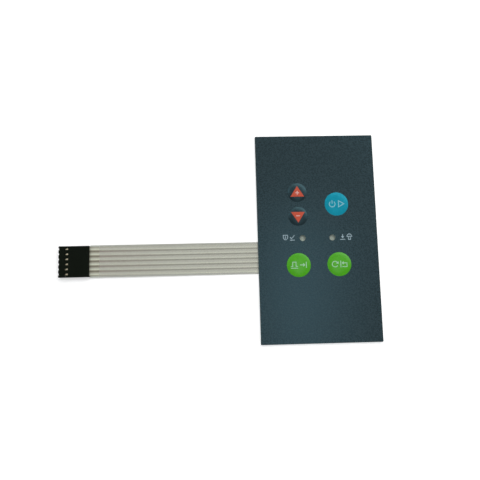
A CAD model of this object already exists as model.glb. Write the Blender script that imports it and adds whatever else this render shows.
"""Looks of a membrane keypad: a printed panel with five embossed keys, a film tail and a connector."""
import math

import bmesh
import bpy
import numpy as np
from mathutils import Matrix, Vector


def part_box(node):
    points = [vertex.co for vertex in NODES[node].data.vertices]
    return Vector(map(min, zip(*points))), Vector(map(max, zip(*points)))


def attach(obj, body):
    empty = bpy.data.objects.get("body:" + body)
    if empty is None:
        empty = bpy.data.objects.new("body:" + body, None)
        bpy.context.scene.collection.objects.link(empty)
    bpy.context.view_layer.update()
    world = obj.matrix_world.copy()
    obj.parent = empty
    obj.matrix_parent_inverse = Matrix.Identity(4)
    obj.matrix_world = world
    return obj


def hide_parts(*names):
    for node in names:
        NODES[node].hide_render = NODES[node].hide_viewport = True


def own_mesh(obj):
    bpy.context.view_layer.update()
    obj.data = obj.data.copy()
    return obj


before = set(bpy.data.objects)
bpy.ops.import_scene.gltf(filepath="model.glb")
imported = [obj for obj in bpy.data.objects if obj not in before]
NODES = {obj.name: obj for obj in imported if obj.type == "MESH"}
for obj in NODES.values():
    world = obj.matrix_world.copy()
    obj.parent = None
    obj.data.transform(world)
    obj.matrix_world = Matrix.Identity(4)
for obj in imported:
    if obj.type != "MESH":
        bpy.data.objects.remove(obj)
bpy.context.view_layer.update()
KEYS = ("up", "down", "start", "jog", "reset")
STRIPS = ("start", "up", "down", "common", "jog", "reset")

# Panel, in millimetres, as all sizes are unless a comment says otherwise
MM = 0.001
SHEET_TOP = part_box("overlay")[1].z / MM
FILM_THICK = SHEET_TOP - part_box("overlay")[0].z / MM
PANEL_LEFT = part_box("overlay")[0].x / MM

# Keys: the flat middle as a share of the radius, the power of the flank, and the film at the foot
CROWN_FLAT = 0.2
CROWN_POWER = 2.5
FOOT_EASE = 0.012
FOOT_RING = 0.35
OPENING_GAP = 0.1
# Points on a key film's profile, along its flat middle, its flank, its foot ring and its hollow
FLAT_POINTS = 4
FLANK_POINTS = 25
RING_POINTS = 9
HOLLOW_POINTS = 16

# Print: its height over a surface, its depth under it, the widths of its lines and their divisions
INK_LIFT = 0.012
INK_SUNK = 0.01
LEGEND_LINE = 0.42
LABEL_LINE = 0.38
PLUS_LINE = 0.5
LINE_STEP = 0.3
# Distance of two signs from the middle between them, on a key and beside a window
SIGN_SPREAD = 2.3
LABEL_SPREAD = 1.75
LEFT_LABEL = (-14.95, 0.0)
RIGHT_LABEL = (14.65, -0.15)
# Place of the sign in an arrowhead, as a share of the way from foot to tip
ARROW_SIGN_SHARE = 0.36
# Width of a filled triangle's tip, as a share of its foot
TIP_SHARE = 0.01

# Tail: its films, its rise from the panel to the connector, and its strips
TAIL_LOW, TAIL_HIGH = (np.array(corner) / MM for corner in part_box("tail_cover"))
TAIL_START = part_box("circuit_film")[0].z / MM
TAIL_MIDDLE = (TAIL_LOW[1] + TAIL_HIGH[1]) / 2
TAIL_LENGTH = 85.3
TAIL_RISE = 0.5
CIRCUIT_THICK = 0.15
COVER_THICK = 0.035
FILM_CLEAR = 0.012
FILM_SINK = 0.02
ALONG_POINTS = 80
ACROSS_POINTS = 121
STRIP_PITCH = 2.54
STRIP_WIDTH = 1.8
STRIP_THICK = 0.03
FIRST_WAY = TAIL_MIDDLE + (len(STRIPS) - 1) / 2 * STRIP_PITCH
STRIPS_TOP = FIRST_WAY + STRIP_WIDTH / 2
STRIPS_BOTTOM = 2 * TAIL_MIDDLE - STRIPS_TOP
# Places where the print starts to thin towards the connector, and where one finish runs into the next
THIN_PRINT_ENDS = -72.0
COVER_END_BLEND = 0.1
MARGIN_BLEND = 0.15
# Tones across one strip, each at its share of the pitch
STRIP_TONES_AT_PANEL = (
    (0.0, "#b5b7a9"), (0.12, "#bfc1b2"), (0.38, "#c2c4b5"), (0.52, "#e2e5d2"), (0.709, "#d0d3c1"),
)
STRIP_TONES_AT_CONNECTOR = (
    (0.0, "#8d8270"), (0.10, "#b5b4a4"), (0.30, "#bfc1b2"), (0.46, "#dadeca"), (0.60, "#b7b5a3"),
    (0.709, "#8d8270"),
)

# Lances of the contacts, and the shares between which the trace of oil on them fades
LANCE_INSET = 3.2
LANCE_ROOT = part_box("connector_housing")[0].x / MM + LANCE_INSET
LANCE_LENGTH = 1.6
LANCE_WIDTH = 0.85
OIL_LEAN = 0.5
OIL_FULL = 0.25
OIL_GONE = 0.8

# Noise of every grain: its detail, its roughness, and the levels between which a finish runs
NOISE_DETAIL = 4.0
NOISE_ROUGHNESS = 0.6
NOISE_LOW = 0.3
NOISE_HIGH = 0.7
# Upright part of a normal: nearly none on a cut edge, well below nought on a rear face
EDGE_LIMIT = 0.2
REAR_LIMIT = -0.5

# Meshes: steps of a full turn, least angle of a sharp edge in degrees, merging distance in metres
TURNS = 96
SHARP_ANGLE = 35
MERGE_DISTANCE = 1e-7

# Glow of the studio's floor and wall, and the height at which it is the wall's
FLOOR_GLOW = 0.45
WALL_GLOW = 0.65
WALL_GLOW_HEIGHT = 300


# Colours and shader nodes
def linear(code):
    """An sRGB hex colour as linear red, green, blue and alpha.

    A channel is divided by 12.92 up to 0.04045. Above it, 0.055 is added, the sum is divided by 1.055,
    and the quotient is raised to 2.4.
    """
    channels = np.array([int(code[i:i + 2], 16) for i in (1, 3, 5)]) / 255
    curved = ((channels + 0.055) / 1.055) ** 2.4
    return (*np.where(channels <= 0.04045, channels / 12.92, curved).tolist(), 1.0)


def add_node(tree, kind, settings=None, links=None):
    """Adds one node.

    Settings name its properties or its input sockets, and links name input sockets and what feeds them.
    """
    made = tree.nodes.new(kind)
    for name, value in (settings or {}).items():
        if isinstance(name, str) and hasattr(made, name):
            setattr(made, name, value)
        else:
            made.inputs[name].default_value = value
    for name, source in (links or {}).items():
        tree.links.new(source, made.inputs[name])
    return made


def start_material(name, **sockets):
    """A new material, its node tree and its principled shader, with constants set on its sockets."""
    made = bpy.data.materials.new(name)
    made.use_nodes = True
    tree = made.node_tree
    shader = tree.nodes["Principled BSDF"]
    for socket, value in sockets.items():
        shader.inputs[socket.replace("_", " ")].default_value = value
    return made, tree, shader


def grain(tree, shader, size, depth, strength, rough, tones):
    """Gives a shader one noise that drives its bump, roughness and colour together.

    The grain's size and depth are in millimetres. As the noise rises, the colour runs from the first tone
    to the second, and the roughness from its first value to its second.
    """
    place = add_node(tree, "ShaderNodeTexCoord")
    noise = add_node(
        tree,
        "ShaderNodeTexNoise",
        {"Scale": 1 / (size * MM), "Detail": NOISE_DETAIL, "Roughness": NOISE_ROUGHNESS},
        {"Vector": place.outputs["Object"]},
    )
    bump = add_node(
        tree,
        "ShaderNodeBump",
        {"Strength": strength, "Distance": depth * MM},
        {"Height": noise.outputs["Fac"]},
    )
    contrast = add_node(
        tree,
        "ShaderNodeMapRange",
        {"From Min": NOISE_LOW, "From Max": NOISE_HIGH},
        {"Value": noise.outputs["Fac"]},
    )
    spread = add_node(
        tree,
        "ShaderNodeMapRange",
        {"To Min": rough[0], "To Max": rough[1]},
        {"Value": contrast.outputs["Result"]},
    )
    tone = add_node(
        tree,
        "ShaderNodeMix",
        {"data_type": "RGBA", 6: linear(tones[0]), 7: linear(tones[1])},
        {"Factor": contrast.outputs["Result"]},
    )
    tree.links.new(bump.outputs["Normal"], shader.inputs["Normal"])
    tree.links.new(spread.outputs["Result"], shader.inputs["Roughness"])
    tree.links.new(tone.outputs[2], shader.inputs["Base Color"])
    return contrast.outputs["Result"], tone.outputs[2]


def velvet_film(name, tones, sheen, rough, gloss):
    """Polycarbonate film with a velvet embossed face, screen printed on its back.

    The ink shows flat and deep through a face that scatters a soft sheen, part of it back through the ink,
    so the sheen has a tint. Embossing stretches a key's face and leaves it duller than the flat sheet, and
    over black ink the sheen is strongest. The grain, about 0.2 mm in the real film, is drawn at 0.7 mm so
    that it shows in the picture. Cut edges are clear film, so they carry light and look pale.
    """
    made, tree, shader = start_material(
        name, IOR=1.585, Specular_IOR_Level=gloss, Specular_Tint=linear(sheen)
    )
    ink = grain(tree, shader, size=0.7, depth=0.02, strength=0.1, rough=rough, tones=tones)[1]
    geometry = add_node(tree, "ShaderNodeNewGeometry")
    axes = add_node(tree, "ShaderNodeSeparateXYZ", links={"Vector": geometry.outputs["True Normal"]})
    edge = add_node(
        tree, "ShaderNodeMath", {"operation": "COMPARE", 1: 0.0, 2: EDGE_LIMIT}, {0: axes.outputs["Z"]}
    )
    cut = add_node(
        tree,
        "ShaderNodeMix",
        {"data_type": "RGBA", 7: linear("#8fa8ad")},
        {"Factor": edge.outputs[0], 6: ink},
    )
    tree.links.new(cut.outputs[2], shader.inputs["Base Color"])
    return made


def grained(name, size, depth, strength, rough, tones, **sockets):
    """A material whose one noise gives it its grain, from sizes that the finish's own comment explains."""
    made, tree, shader = start_material(name, **sockets)
    grain(tree, shader, size, depth, strength, rough, tones)
    return made


def place_along(tree, axis, start, stop, clamp=True):
    """How far a point is between two places on one axis, in millimetres, as a share from nought to one."""
    place = add_node(tree, "ShaderNodeTexCoord")
    axes = add_node(tree, "ShaderNodeSeparateXYZ", links={"Vector": place.outputs["Object"]})
    share = add_node(
        tree,
        "ShaderNodeMapRange",
        {"clamp": clamp, "From Min": start * MM, "From Max": stop * MM},
        {"Value": axes.outputs[axis]},
    )
    return share.outputs["Result"]


def place_in_pitch(tree, top_edge):
    """The share of one pitch that a point lies below the top edge of its own strip or contact."""
    below = place_along(tree, "Y", top_edge, top_edge - STRIP_PITCH, clamp=False)
    return add_node(tree, "ShaderNodeMath", {"operation": "FRACT"}, {0: below}).outputs[0]


def silver_strips():
    """Silver flake ink, screen printed and cured.

    A printed strip dries thicker towards its lower edge, so it runs from mid grey to pale across its width,
    with a satin flake glitter. Towards the connector its edges are thin, and the brown film shows through
    them.
    """
    made, tree, shader = start_material("screen printed silver ink", Metallic=0.25)
    contrast = grain(
        tree, shader, size=0.35, depth=0.01, strength=0.2, rough=(0.38, 0.55), tones=("#8f9086", "#a9aa9e")
    )[0]
    share = place_in_pitch(tree, STRIPS_TOP)
    ramps = []
    for tones in (STRIP_TONES_AT_PANEL, STRIP_TONES_AT_CONNECTOR):
        ramp = add_node(tree, "ShaderNodeValToRGB", links={"Fac": share})
        stops = ramp.color_ramp.elements
        while len(stops) < len(tones):
            stops.new(0.5)
        for stop, (at, code) in zip(stops, tones):
            stop.position = at
            stop.color = linear(code)
        ramps.append(ramp.outputs["Color"])
    far = place_along(tree, "X", THIN_PRINT_ENDS, TAIL_LOW[0])
    ends = add_node(
        tree, "ShaderNodeMix", {"data_type": "RGBA"}, {"Factor": far, 6: ramps[0], 7: ramps[1]}
    )
    flake = add_node(tree, "ShaderNodeMapRange", {"To Min": 0.93, "To Max": 1.05}, {"Value": contrast})
    tone = add_node(
        tree,
        "ShaderNodeMix",
        {"data_type": "RGBA", "blend_type": "MULTIPLY", "Factor": 1.0},
        {6: ends.outputs[2], 7: flake.outputs["Result"]},
    )
    tree.links.new(tone.outputs[2], shader.inputs["Base Color"])
    return made


def printed_base():
    """Heat-stabilised polyester that carries the print: a grey green where nothing is printed on it.

    Under the cover, adhesive fills the grooves between the strips and browns them towards the connector.
    From behind, the strips show through the film. Past the outer strips it is clear to its cut edge, so it
    looks pale.
    """
    made, tree, shader = start_material("heat stabilised polyester film", IOR=1.64)
    film = grain(
        tree, shader, size=0.9, depth=0.008, strength=0.2, rough=(0.25, 0.40), tones=("#757262", "#858171")
    )[1]
    covered = place_along(tree, "X", TAIL_LOW[0] - COVER_END_BLEND, TAIL_LOW[0] + COVER_END_BLEND)
    far = place_along(tree, "X", THIN_PRINT_ENDS, TAIL_LOW[0])
    filled = add_node(tree, "ShaderNodeMath", {"operation": "MULTIPLY"}, {0: covered, 1: far})
    brown = add_node(
        tree,
        "ShaderNodeMix",
        {"data_type": "RGBA", 7: linear("#77614a")},
        {"Factor": filled.outputs[0], 6: film},
    )
    geometry = add_node(tree, "ShaderNodeNewGeometry")
    axes = add_node(tree, "ShaderNodeSeparateXYZ", links={"Vector": geometry.outputs["True Normal"]})
    rear = add_node(
        tree, "ShaderNodeMath", {"operation": "LESS_THAN", 1: REAR_LIMIT}, {0: axes.outputs["Z"]}
    )
    strip = add_node(
        tree,
        "ShaderNodeMath",
        {"operation": "LESS_THAN", 1: STRIP_WIDTH / STRIP_PITCH},
        {0: place_in_pitch(tree, STRIPS_TOP)},
    )
    shows = add_node(
        tree, "ShaderNodeMath", {"operation": "MULTIPLY"}, {0: rear.outputs[0], 1: strip.outputs[0]}
    )
    through = add_node(
        tree,
        "ShaderNodeMix",
        {"data_type": "RGBA", 7: linear("#a3a499")},
        {"Factor": shows.outputs[0], 6: brown.outputs[2]},
    )
    above = place_along(tree, "Y", STRIPS_TOP, STRIPS_TOP + MARGIN_BLEND)
    below = place_along(tree, "Y", STRIPS_BOTTOM, STRIPS_BOTTOM - MARGIN_BLEND)
    margin = add_node(tree, "ShaderNodeMath", {"operation": "MAXIMUM"}, {0: above, 1: below})
    tone = add_node(
        tree,
        "ShaderNodeMix",
        {"data_type": "RGBA", 7: linear("#aeb2a7")},
        {"Factor": margin.outputs[0], 6: through.outputs[2]},
    )
    tree.links.new(tone.outputs[2], shader.inputs["Base Color"])
    return made


def contact_metal():
    """Tin-plated phosphor bronze, stamped: a warm pale metal with a soft polish.

    Each lance keeps a dark trace of die oil in the fold at its root, which fades towards its free end and
    its lower side: the trace's share is the place along the lance plus half of the place across it.
    """
    made, tree, shader = start_material("tin plated phosphor bronze", Metallic=0.6)
    metal = grain(
        tree, shader, size=0.3, depth=0.01, strength=0.3, rough=(0.38, 0.52), tones=("#cfc3a4", "#e9dfc4")
    )[1]
    along = place_along(tree, "X", LANCE_ROOT, LANCE_ROOT + LANCE_LENGTH, clamp=False)
    across = place_in_pitch(tree, FIRST_WAY + LANCE_WIDTH / 2)
    lean = add_node(
        tree,
        "ShaderNodeMath",
        {"operation": "MULTIPLY_ADD", 1: OIL_LEAN * STRIP_PITCH / LANCE_WIDTH},
        {0: across, 2: along},
    )
    clean = add_node(
        tree, "ShaderNodeMapRange", {"From Min": OIL_FULL, "From Max": OIL_GONE}, {"Value": lean.outputs[0]}
    )
    tone = add_node(
        tree,
        "ShaderNodeMix",
        {"data_type": "RGBA", 6: linear("#2b251a")},
        {"Factor": clean.outputs["Result"], 7: metal},
    )
    tree.links.new(tone.outputs[2], shader.inputs["Base Color"])
    return made


def white_ink(ground, tones):
    """White ink printed thin over a colour: a mottled white that takes a tint from the ground under it."""
    return grained(
        "screen printed white ink over " + ground,
        size=0.3, depth=0.006, strength=0.2, rough=(0.45, 0.60), tones=tones, IOR=1.5,
    )


# Films of the flat sheet and of the keys: one face, printed with four inks
SLATE_FILM = velvet_film(
    "velvet polycarbonate film with slate ink",
    tones=("#212829", "#2f3739"), sheen="#9ce4fe", rough=(0.24, 0.31), gloss=0.35,
)
BLACK_FILM = velvet_film(
    "velvet polycarbonate film with black ink",
    tones=("#0f1111", "#181b1b"), sheen="#a8eaff", rough=(0.32, 0.39), gloss=0.46,
)
BLUE_FILM = velvet_film(
    "velvet polycarbonate film with blue ink",
    tones=("#12839b", "#1491aa"), sheen="#61e7ff", rough=(0.27, 0.34), gloss=0.35,
)
GREEN_FILM = velvet_film(
    "velvet polycarbonate film with green ink",
    tones=("#429c02", "#4dab08"), sheen="#dcf4e4", rough=(0.27, 0.34), gloss=0.38,
)
# Opaque red ink: warm, even and slightly mottled by the mesh it was printed through
RED_INK = grained(
    "screen printed red ink",
    size=0.5, depth=0.008, strength=0.2, rough=(0.40, 0.50), tones=("#b6442b", "#c65137"),
    IOR=1.5, Specular_IOR_Level=0.3,
)
WHITE_INKS = {
    "slate": white_ink("slate", ("#879fab", "#a0b4bd")),
    "blue": white_ink("blue", ("#74b2c2", "#8cc3d0")),
    "green": white_ink("green", ("#8fc29c", "#a6d0ae")),
    "red": white_ink("red", ("#cf9a94", "#dcb0aa")),
}
# Clear adhesive between two films: only its cut edge shows, pale and a little cloudy
ADHESIVE = grained(
    "clear acrylic adhesive",
    size=0.8, depth=0.01, strength=0.2, rough=(0.25, 0.40), tones=("#b9c6c4", "#d3dcd9"), IOR=1.47,
)
# Clear polyester sheet: its die-cut edge looks milky, with fine knife marks
SPACER_FILM = grained(
    "die cut polyester film",
    size=0.4, depth=0.012, strength=0.3, rough=(0.20, 0.35), tones=("#aebfc0", "#cbd6d5"), IOR=1.64,
)
# The same polyester, punched out as discs: whiter and duller, for it is thick and its face is scuffed
PUSHER_FILM = grained(
    "punched polyester film",
    size=0.4, depth=0.012, strength=0.3, rough=(0.30, 0.45), tones=("#c9ccc6", "#dcdfd9"), IOR=1.64,
)
# Stamped stainless spring steel: bright, with fine drawing marks from the press
DOME_STEEL = grained(
    "stamped stainless steel",
    size=0.25, depth=0.006, strength=0.3, rough=(0.22, 0.38), tones=("#a9abab", "#c6c8c8"), Metallic=1.0,
)
# Glassine paper with a silicone coat: smooth, faintly greenish and cloudy with fibres
LINER_PAPER = grained(
    "silicone coated glassine paper",
    size=1.6, depth=0.012, strength=0.25, rough=(0.38, 0.55), tones=("#919a90", "#a3aba0"), IOR=1.42,
)
# Glass-filled polyester moulded in a spark-eroded tool: nearly black, with a fine dull texture
HOUSING_PLASTIC = grained(
    "moulded black polyester",
    size=0.35, depth=0.02, strength=0.35, rough=(0.50, 0.65), tones=("#030802", "#0a1108"),
    IOR=1.57, Specular_IOR_Level=0.06,
)
CIRCUIT_FILM = printed_base()
CONTACT_METAL = contact_metal()
SILVER_INK = silver_strips()
# Clear film laminated over the print: a thin warm tint, with the film's own gloss
COVER_FILM = grained(
    "clear laminating film",
    size=1.2, depth=0.01, strength=0.15, rough=(0.22, 0.34), tones=("#cfcfc7", "#dddcd6"),
    IOR=1.6, Alpha=0.20,
)


# Meshes from grids
def put_mesh(name, points, faces, materials, shades=None):
    """A mesh object from points in millimetres and lists of corner numbers, smooth but for sharp edges."""
    mesh = bpy.data.meshes.new(name)
    mesh.from_pydata((points * MM).tolist(), [], faces)
    for material in materials:
        mesh.materials.append(material)
    if shades is not None:
        mesh.polygons.foreach_set("material_index", np.asarray(shades, np.int32))
    mesh.polygons.foreach_set("use_smooth", np.ones(len(mesh.polygons), bool))
    mesh.set_sharp_from_angle(angle=math.radians(SHARP_ANGLE))
    mesh.update()
    made = bpy.data.objects.new(name, mesh)
    bpy.context.scene.collection.objects.link(made)
    return made


def turned(name, profile, centre, materials, ring_shades):
    """A closed surface of revolution: a profile of radius and height, turned from pole to pole.

    A point is the centre plus the radius times the cosine and sine of the turn's angle, at the profile's
    height.
    """
    here = np.arange(TURNS)
    after = (here + 1) % TURNS
    angle = here * 2 * np.pi / TURNS
    inner = profile[1:-1]
    rings = np.stack(
        [
            centre[0] + inner[:, :1] * np.cos(angle),
            centre[1] + inner[:, :1] * np.sin(angle),
            np.repeat(inner[:, 1:], TURNS, 1),
        ],
        2,
    ).reshape(-1, 3)
    poles = np.array([[*centre, profile[0, 1]], [*centre, profile[-1, 1]]])
    total = len(rings)
    row = np.arange(0, total - TURNS, TURNS)[:, None]
    quads = np.stack([row + here, row + TURNS + here, row + TURNS + after, row + after], 2).reshape(-1, 4)
    last = total - TURNS
    top = np.stack([np.full(TURNS, total), here, after], 1)
    bottom = np.stack([np.full(TURNS, total + 1), last + after, last + here], 1)
    shades = np.concatenate([np.repeat(ring_shades[1:-1], TURNS), np.repeat(ring_shades[[0, -1]], TURNS)])
    faces = quads.tolist() + top.tolist() + bottom.tolist()
    return put_mesh(name, np.vstack([rings, poles]), faces, materials, shades)


def slab(grid, height, lift=INK_LIFT, sunk=INK_SUNK):
    """Points and faces of a thin closed slab that lies on a surface: a grid of places in two parameters.

    The slab's top is the surface's height at each place plus the lift, its bottom the height less the depth
    sunk, and walls join their rims. A grid whose last row is its first one again is closed round.
    """
    closed = np.allclose(grid[0], grid[-1])
    grid = grid[:-1] if closed else grid
    rows, columns = grid.shape[:2]
    flat = grid.reshape(-1, 2)
    rest = height(flat[:, 0], flat[:, 1])
    points = np.vstack([np.column_stack([flat, rest + lift]), np.column_stack([flat, rest - sunk])])
    number = np.arange(rows * columns).reshape(rows, columns)
    number = np.vstack([number, number[:1]]) if closed else number
    top = np.stack([number[:-1, :-1], number[1:, :-1], number[1:, 1:], number[:-1, 1:]], 2).reshape(-1, 4)
    if closed:
        walls = [number[:, 0], number[::-1, -1]]
    else:
        walls = [np.concatenate([number[:, 0], number[-1, 1:], number[-2::-1, -1], number[0, -2::-1]])]
    under = rows * columns
    sides = [np.stack([w[:-1] + under, w[1:] + under, w[1:], w[:-1]], 1) for w in walls]
    return points, np.vstack([top, top[:, ::-1] + under, *sides])


def printed(name, grids, height, material):
    """One printed piece of several slabs, each on the surface whose height a function gives."""
    points = []
    faces = []
    total = 0
    for grid in grids:
        more, corners = slab(grid, height)
        points.append(more)
        faces.append(corners + total)
        total += len(more)
    return put_mesh(name, np.vstack(points), np.vstack(faces).tolist(), [material])


# Lines and shapes of the print, as grids of places
def ribbon(points, width):
    """Grid of a line with a constant width: each point moved half the width to both sides, along its mitre.

    The mitre is the sum of the directions before and after the corner over one plus their dot product,
    turned a quarter. Long lines are divided first so that they can follow a crown.
    """
    corners = np.asarray(points, float)
    legs = zip(corners[:-1], corners[1:])
    lines = [np.linspace(a, b, max(1, round(math.dist(a, b) / LINE_STEP)), endpoint=False) for a, b in legs]
    path = np.vstack([*lines, corners[-1:]])
    along = np.diff(path, axis=0)
    along /= np.linalg.norm(along, axis=1, keepdims=True)
    closed = np.allclose(path[0], path[-1])
    before = np.vstack([along[-1:] if closed else along[:1], along])
    after = np.vstack([along, along[:1] if closed else along[-1:]])
    mitre = (before + after) / (1 + (before * after).sum(1, keepdims=True))
    side = np.column_stack([-mitre[:, 1], mitre[:, 0]]) * width / 2
    return np.stack([path - side, path + side], 1)


def arc(centre, radius, start, stop, count=28):
    """Places on a circle's arc between two angles in degrees."""
    angle = np.radians(np.linspace(start, stop, count))
    return np.column_stack([centre[0] + radius * np.cos(angle), centre[1] + radius * np.sin(angle)])


def wedge(tip, foot, width, count=18):
    """Grid of a filled triangle: from its tip to its foot in one parameter, across it in the other.

    A place is the tip plus a share of the way to the foot, and as large a share of the width to either side.
    """
    tip = np.asarray(tip, float)
    along = np.asarray(foot, float) - tip
    across = np.array([-along[1], along[0]]) / np.hypot(*along) * width
    share = np.linspace(TIP_SHARE, 1, count)[:, None, None]
    side = np.linspace(-0.5, 0.5, count)[None, :, None]
    return tip + share * along + share * side * across


def moved(grids, centre):
    """The same grids with their origin put at a centre."""
    return [grid + np.asarray(centre) for grid in grids]


def power_sign(line):
    """A ring open at its top, with a bar in the opening."""
    return [ribbon(arc((0, -0.1), 1.5, 128, 412), line), ribbon([(0, 0.1), (0, 1.9)], line)]


def run_sign(line):
    """An outlined triangle that points right."""
    return [ribbon([(-1.3, 1.6), (-1.3, -1.6), (1.6, 0), (-1.3, 1.6)], line)]


def pulse_sign(line):
    """One square pulse over a base line."""
    pulse = [(-1.8, -0.75), (-0.85, -0.75), (-0.85, 1.5), (0.85, 1.5), (0.85, -0.75), (1.8, -0.75)]
    return [ribbon(pulse, line), ribbon([(-1.8, -1.65), (1.8, -1.65)], line)]


def step_sign(line):
    """A short arrow that stops at a bar."""
    return [
        ribbon([(-1.8, 0), (-0.1, 0)], line),
        wedge((1.05, 0), (-0.1, 0), 2.0),
        ribbon([(1.55, -1.6), (1.55, 1.6)], line),
    ]


def renew_sign(line):
    """A circle's arc that ends in an arrowhead, which points along the arc's own direction there."""
    radius = 1.45
    last = 40
    end = arc((0, 0), radius, last, last, 1)[0]
    ahead = np.array([math.sin(math.radians(last)), -math.cos(math.radians(last))])
    return [ribbon(arc((0, 0), radius, 330, last), line), wedge(end + ahead * 1.15, end, 1.7)]


def home_sign(line):
    """A bar with an arrow that turns back to it."""
    return [
        ribbon([(-1.65, -1.7), (-1.65, 1.7)], line),
        wedge((-1.2, 0.55), (-0.15, 0.55), 1.9),
        ribbon([(-0.15, 0.55), (1.55, 0.55), (1.55, -1.35), (-0.9, -1.35)], line),
    ]


def shield_sign(line):
    """An outlined shield with a bar in it: a straight top, and two arcs that meet in a point below."""
    right_side = arc((-0.35, 0.35), 1.5, 0, -72, 8)
    left_side = arc((0.35, 0.35), 1.5, 252, 180, 8)
    rim = np.vstack([[(-1.15, 1.3), (1.15, 1.3)], right_side, left_side, [(-1.15, 1.3)]])
    return [ribbon(rim, line), ribbon([(0, 0.75), (0, -0.55)], line)]


def tick_sign(line):
    """A tick over a line."""
    tick = [(-1.2, 0.25), (-0.4, -0.55), (1.2, 1.25)]
    return [ribbon(tick, line), ribbon([(-1.2, -1.3), (1.2, -1.3)], line)]


def press_sign(line):
    """An arrow that presses down on a plate."""
    return [
        ribbon([(0, 1.45), (0, 0.35)], line),
        wedge((0, -0.75), (0, 0.35), 1.7),
        ribbon([(-1.3, -1.25), (1.3, -1.25)], line),
    ]


def rivet_sign(line):
    """A rivet seen from the side: a domed head on a shank."""
    head = np.vstack([arc((0, 0.2), 1.25, 180, 0, 16), [(-1.25, 0.2)]])
    shank = [(-0.5, -0.15), (-0.5, -1.4), (0.5, -1.4), (0.5, -0.15)]
    return [ribbon(head, line), ribbon(shank, line)]


def plus_sign(line):
    """A bar, and two short ones that meet it from above and below without lying over it."""
    return [
        *minus_sign(line),
        ribbon([(0, line / 2), (0, 1.0)], line),
        ribbon([(0, -1.0), (0, -line / 2)], line),
    ]


def minus_sign(line):
    """A level bar."""
    return [ribbon([(-1.0, 0), (1.0, 0)], line)]


# Keys: films, arrowheads and legends
def key_place(name):
    """Centre, radius and crown height of a key, in millimetres, from its solid."""
    low, high = (np.array(corner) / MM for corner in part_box(name + "_key"))
    return (low + high)[:2] / 2, (high - low)[0] / 2, high[2] - SHEET_TOP


def crown(reach, radius, height):
    """Height of an embossed key above the sheet, at a distance from its axis.

    It is flat out to a fifth of the radius, then falls as the share of the flank that is passed to the power
    2.5. The foot eases into the sheet by a smooth maximum: half of the sum of the height and the root of its
    square plus the square of twice the easing.
    """
    share = np.maximum(reach / radius - CROWN_FLAT, 0) / (1 - CROWN_FLAT)
    fall = height * (1 - share ** CROWN_POWER)
    return (fall + np.sqrt(fall ** 2 + (2 * FOOT_EASE) ** 2)) / 2


def on_key(name):
    """The height of a key's face at any place, as a function of x and y."""
    centre, radius, height = key_place(name)
    return lambda x, y: SHEET_TOP + crown(np.hypot(x - centre[0], y - centre[1]), radius, height)


def on_sheet(x, y):
    """The height of the flat overlay at any place."""
    return np.full(np.shape(x), SHEET_TOP)


def press_with(piece):
    """Lets a piece of film sink with its key: it flattens towards the sheet, where its foot stays joined."""
    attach(piece, "panel")
    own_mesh(piece)


def key_film(name, material):
    """One key's film, a turned profile: the crown out past the foot, back to the opening, and up the hollow.

    The hollow is the crown's own curve, lower by the film's thickness. It starts in the middle of the gap
    between the key and the sheet, which the ring at the foot covers.
    """
    centre, radius, height = key_place(name)
    flat = CROWN_FLAT * radius
    rim = radius + FOOT_RING
    edge = radius + OPENING_GAP / 2
    outer = np.concatenate(
        [
            np.linspace(0, flat, FLAT_POINTS),
            np.linspace(flat, radius, FLANK_POINTS)[1:],
            np.linspace(radius, rim, RING_POINTS)[1:],
        ]
    )
    inner = np.append(np.linspace(edge, flat, HOLLOW_POINTS), 0.0)
    profile = np.vstack(
        [
            np.column_stack([outer, SHEET_TOP + crown(outer, radius, height)]),
            [(rim, SHEET_TOP), (edge, SHEET_TOP)],
            np.column_stack([inner, SHEET_TOP + crown(inner, radius, height) - FILM_THICK]),
        ]
    )
    middles = (profile[:-1, 0] + profile[1:, 0]) / 2
    shades = (middles > radius).astype(int)
    piece = turned(name + "_film", profile, centre, [material, SLATE_FILM], shades)
    press_with(piece)
    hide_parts(name + "_key")


def arrowhead(name, way):
    """The red arrowhead of a black key, a grid laid on its crown. Gives the place of the sign in it."""
    low, high = (np.array(corner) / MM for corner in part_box(name + "_arrowhead"))
    middle = (low[0] + high[0]) / 2
    foot, tip = (low[1], high[1]) if way > 0 else (high[1], low[1])
    grid = wedge((middle, tip), (middle, foot), high[0] - low[0], 28)
    ink = printed(name + "_arrowhead_ink", [grid], on_key(name), RED_INK)
    press_with(ink)
    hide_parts(name + "_arrowhead")
    return middle, foot + (tip - foot) * ARROW_SIGN_SHARE


def legend(name, grids, height, ground, joint=None):
    """White print: on a key it sinks with the key, on the sheet it rides with the panel."""
    piece = printed(name + "_legend", grids, height, WHITE_INKS[ground])
    if joint:
        press_with(piece)
    else:
        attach(piece, "panel")


def pair(left_sign, right_sign, line, middle, spread):
    """Two signs side by side, each at the same distance from the middle between them."""
    x, y = middle
    return moved(left_sign(line), (x - spread, y)) + moved(right_sign(line), (x + spread, y))


def raised(surface):
    """The same surface, higher by the thickness of one print, for ink that is printed over ink."""
    return lambda x, y: surface(x, y) + INK_LIFT


key_film("up", BLACK_FILM)
key_film("down", BLACK_FILM)
key_film("start", BLUE_FILM)
key_film("jog", GREEN_FILM)
key_film("reset", GREEN_FILM)

PAIRS = {
    "start": (power_sign, run_sign, "blue"),
    "jog": (pulse_sign, step_sign, "green"),
    "reset": (renew_sign, home_sign, "green"),
}
for key, (left_sign, right_sign, ground) in PAIRS.items():
    signs = pair(left_sign, right_sign, LEGEND_LINE, key_place(key)[0], SIGN_SPREAD)
    legend(key, signs, on_key(key), ground, key)

up_place = arrowhead("up", 1)
down_place = arrowhead("down", -1)
legend("up", moved(plus_sign(PLUS_LINE), up_place), raised(on_key("up")), "red", "up")
legend("down", moved(minus_sign(PLUS_LINE), down_place), raised(on_key("down")), "red", "down")

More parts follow.
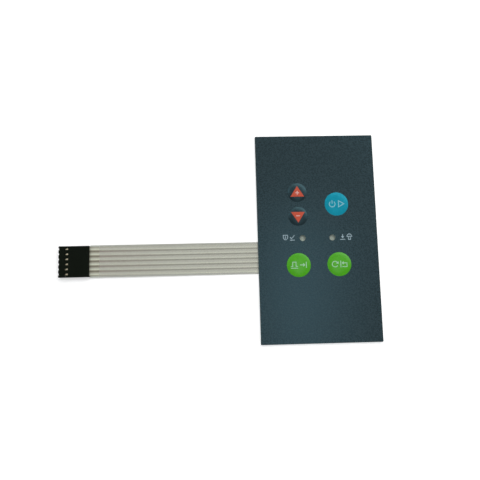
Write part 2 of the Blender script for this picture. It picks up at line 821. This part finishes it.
left_signs = pair(shield_sign, tick_sign, LABEL_LINE, LEFT_LABEL, LABEL_SPREAD)
right_signs = pair(press_sign, rivet_sign, LABEL_LINE, RIGHT_LABEL, LABEL_SPREAD)
legend("left_label", left_signs, on_sheet, "slate")
legend("right_label", right_signs, on_sheet, "slate")


# Tail
def tail_rear(x):
    """Height of the tail's rear face, which rises from the panel to the connector.

    The rise is three squares less two cubes of the share of the tail's length that is passed.
    """
    share = np.clip((PANEL_LEFT - x) / TAIL_LENGTH, 0, 1)
    return TAIL_START + TAIL_RISE * share ** 2 * (3 - 2 * share)


def cover_rear(x, y):
    """Height of the cover film's underside: it lies on each strip, and sinks between two strips.

    The sinking is the fourth power of a cosine of the pitch.
    """
    sink = FILM_SINK * np.cos(np.pi * (y - TAIL_MIDDLE) / STRIP_PITCH) ** 4
    return tail_rear(x) + CIRCUIT_THICK + STRIP_THICK + FILM_CLEAR - sink


def tail_film():
    """The clear film over the strips: its profile across the tail, carried along the tail's own rise.

    Its top and its underside are one surface at two heights, joined at the rim.
    """
    along = np.linspace(TAIL_LOW[0], PANEL_LEFT, ALONG_POINTS)
    across = np.linspace(TAIL_LOW[1], TAIL_HIGH[1], ACROSS_POINTS)
    grid = np.stack(np.meshgrid(along, across, indexing="ij"), 2)
    points, faces = slab(grid, cover_rear, lift=COVER_THICK, sunk=0.0)
    piece = put_mesh("tail_cover_film", points, faces.tolist(), [COVER_FILM])
    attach(piece, "panel")
    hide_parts("tail_cover")


tail_film()


# Domes that flatten under their pushers
def dome(name):
    """A copy of a dome's own mesh, its loose triangles merged.

    It flattens towards its feet as its key goes down.
    """
    mesh = NODES[name + "_dome"].data.copy()
    mesh.name = name + "_dome_steel"
    work = bmesh.new()
    work.from_mesh(mesh)
    bmesh.ops.remove_doubles(work, verts=work.verts, dist=MERGE_DISTANCE)
    work.to_mesh(mesh)
    work.free()
    mesh.materials.clear()
    mesh.materials.append(DOME_STEEL)
    mesh.polygons.foreach_set("use_smooth", np.ones(len(mesh.polygons), bool))
    mesh.set_sharp_from_angle(angle=math.radians(SHARP_ANGLE))
    piece = bpy.data.objects.new(name + "_dome_steel", mesh)
    bpy.context.scene.collection.objects.link(piece)
    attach(piece, "panel")
    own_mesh(piece)
    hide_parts(name + "_dome")


for key in KEYS:
    dome(key)


# Finishes of the solids that are shown as they are
FINISHES = {
    "overlay": SLATE_FILM,
    "overlay_adhesive": ADHESIVE,
    "spacer": SPACER_FILM,
    "circuit_film": CIRCUIT_FILM,
    "rear_adhesive": ADHESIVE,
    "release_liner": LINER_PAPER,
    "connector_housing": HOUSING_PLASTIC,
    **{f"{strip}_conductor": SILVER_INK for strip in STRIPS},
    **{f"contact_{way}": CONTACT_METAL for way in range(1, len(STRIPS) + 1)},
    **{f"{key}_pusher": PUSHER_FILM for key in KEYS},
}
for name, material in FINISHES.items():
    NODES[name].data.materials.clear()
    NODES[name].data.materials.append(material)


# Studio, in metres: floor, light and camera
def studio_floor(hub=0.0005, reach=2.4, bend=0.6, bend_points=13, wall=1.2, drop=0.00002):
    """A plain pale floor that takes the object's shadow, and bends up into a round wall far behind it.

    It is a profile turned about the upright axis: level to its reach, a quarter circle, then straight up.
    Its paint is matt and white. It has enough glow of its own to read as white, and more on the wall, which
    the softboxes light less.
    """
    made, tree, shader = start_material(
        "matt white paint",
        Base_Color=linear("#e8e8e8"),
        Roughness=0.9,
        Specular_IOR_Level=0.0,
        Emission_Color=linear("#ffffff"),
    )
    rays = add_node(tree, "ShaderNodeLightPath").outputs
    seen = rays["Is Camera Ray"]
    for ray in ("Is Glossy Ray", "Is Transmission Ray"):
        seen = add_node(tree, "ShaderNodeMath", {"operation": "MAXIMUM"}, {0: seen, 1: rays[ray]}).outputs[0]
    level = add_node(
        tree,
        "ShaderNodeMapRange",
        {"To Min": FLOOR_GLOW, "To Max": WALL_GLOW},
        {"Value": place_along(tree, "Z", 0, WALL_GLOW_HEIGHT)},
    )
    glow = add_node(tree, "ShaderNodeMath", {"operation": "MULTIPLY"}, {0: seen, 1: level.outputs["Result"]})
    tree.links.new(glow.outputs[0], shader.inputs["Emission Strength"])
    quarter = np.linspace(0, np.pi / 2, bend_points)
    out = np.concatenate([[hub, reach / 2], reach + bend * np.sin(quarter), [reach + bend]])
    up = np.concatenate([[0, 0], bend - bend * np.cos(quarter), [bend + wall]]) - drop
    turn = np.linspace(0, 2 * np.pi, TURNS + 1)[:-1]
    points = np.stack(
        [np.outer(out, np.cos(turn)), np.outer(out, np.sin(turn)), np.repeat(up[:, None], TURNS, 1)], 2
    )
    number = np.arange(len(out) * TURNS).reshape(-1, TURNS)
    after = np.roll(number, -1, 1)
    faces = np.stack([number[:-1], number[1:], after[1:], after[:-1]], 2).reshape(-1, 4).tolist()
    floor = put_mesh("studio_floor", points.reshape(-1, 3) / MM, faces + [number[0].tolist()], [made])


def soft_light(name, place, size, power, colour="#ffffff"):
    """A rectangular softbox that faces the middle of the panel."""
    lamp = bpy.data.lights.new(name, "AREA")
    lamp.shape = "RECTANGLE"
    lamp.size, lamp.size_y = size
    lamp.energy = power
    lamp.color = linear(colour)[:3]
    made = bpy.data.objects.new(name, lamp)
    made.location = place
    made.rotation_euler = (-Vector(place)).to_track_quat("-Z", "Y").to_euler()
    bpy.context.scene.collection.objects.link(made)


def surroundings(colour, strength):
    """Even light from all round, as from the walls of a pale room."""
    world = bpy.data.worlds.new("studio")
    bpy.context.scene.world = world
    world.use_nodes = True
    sockets = world.node_tree.nodes["Background"].inputs
    sockets["Color"].default_value = linear(colour)
    sockets["Strength"].default_value = strength


def camera(place, look, up, lens, sensor=36.0, nearest=0.01):
    """A camera at the photograph's place: its look and up directions make its turn."""
    look = Vector(look).normalized()
    right = look.cross(Vector(up)).normalized()
    up = right.cross(look)
    data = bpy.data.cameras.new("camera")
    data.sensor_width = sensor
    data.lens = lens
    data.clip_start = nearest
    made = bpy.data.objects.new("camera", data)
    turn = Matrix((right, up, -look)).transposed().to_4x4()
    made.matrix_world = Matrix.Translation(place) @ turn
    bpy.context.scene.collection.objects.link(made)
    bpy.context.scene.camera = made


studio_floor()
soft_light("window side softbox", place=(0.46, 1.08, 1.092), size=(1.8, 0.8), power=15.8, colour="#fffdf8")
soft_light("right softbox", place=(0.55, 0.28, 0.7), size=(0.4, 0.4), power=0.7)
soft_light("left softbox", place=(-0.5, 0.42, 0.9), size=(0.4, 0.4), power=1.9)
soft_light("overhead softbox", place=(0.13, 0.0, 1.0), size=(0.38, 0.12), power=0.56)
soft_light("front softbox", place=(0.10, -0.36, 0.16), size=(0.3, 0.1), power=0.20)
surroundings(colour="#f7fbff", strength=0.30)
camera(
    place=(-0.0507, -0.0395, 0.2859),
    look=(0.0367, 0.1351, -0.9902),
    up=(0.0211, 0.9905, 0.1359),
    lens=42.08,
)
bpy.context.scene.view_settings.view_transform = "Standard"
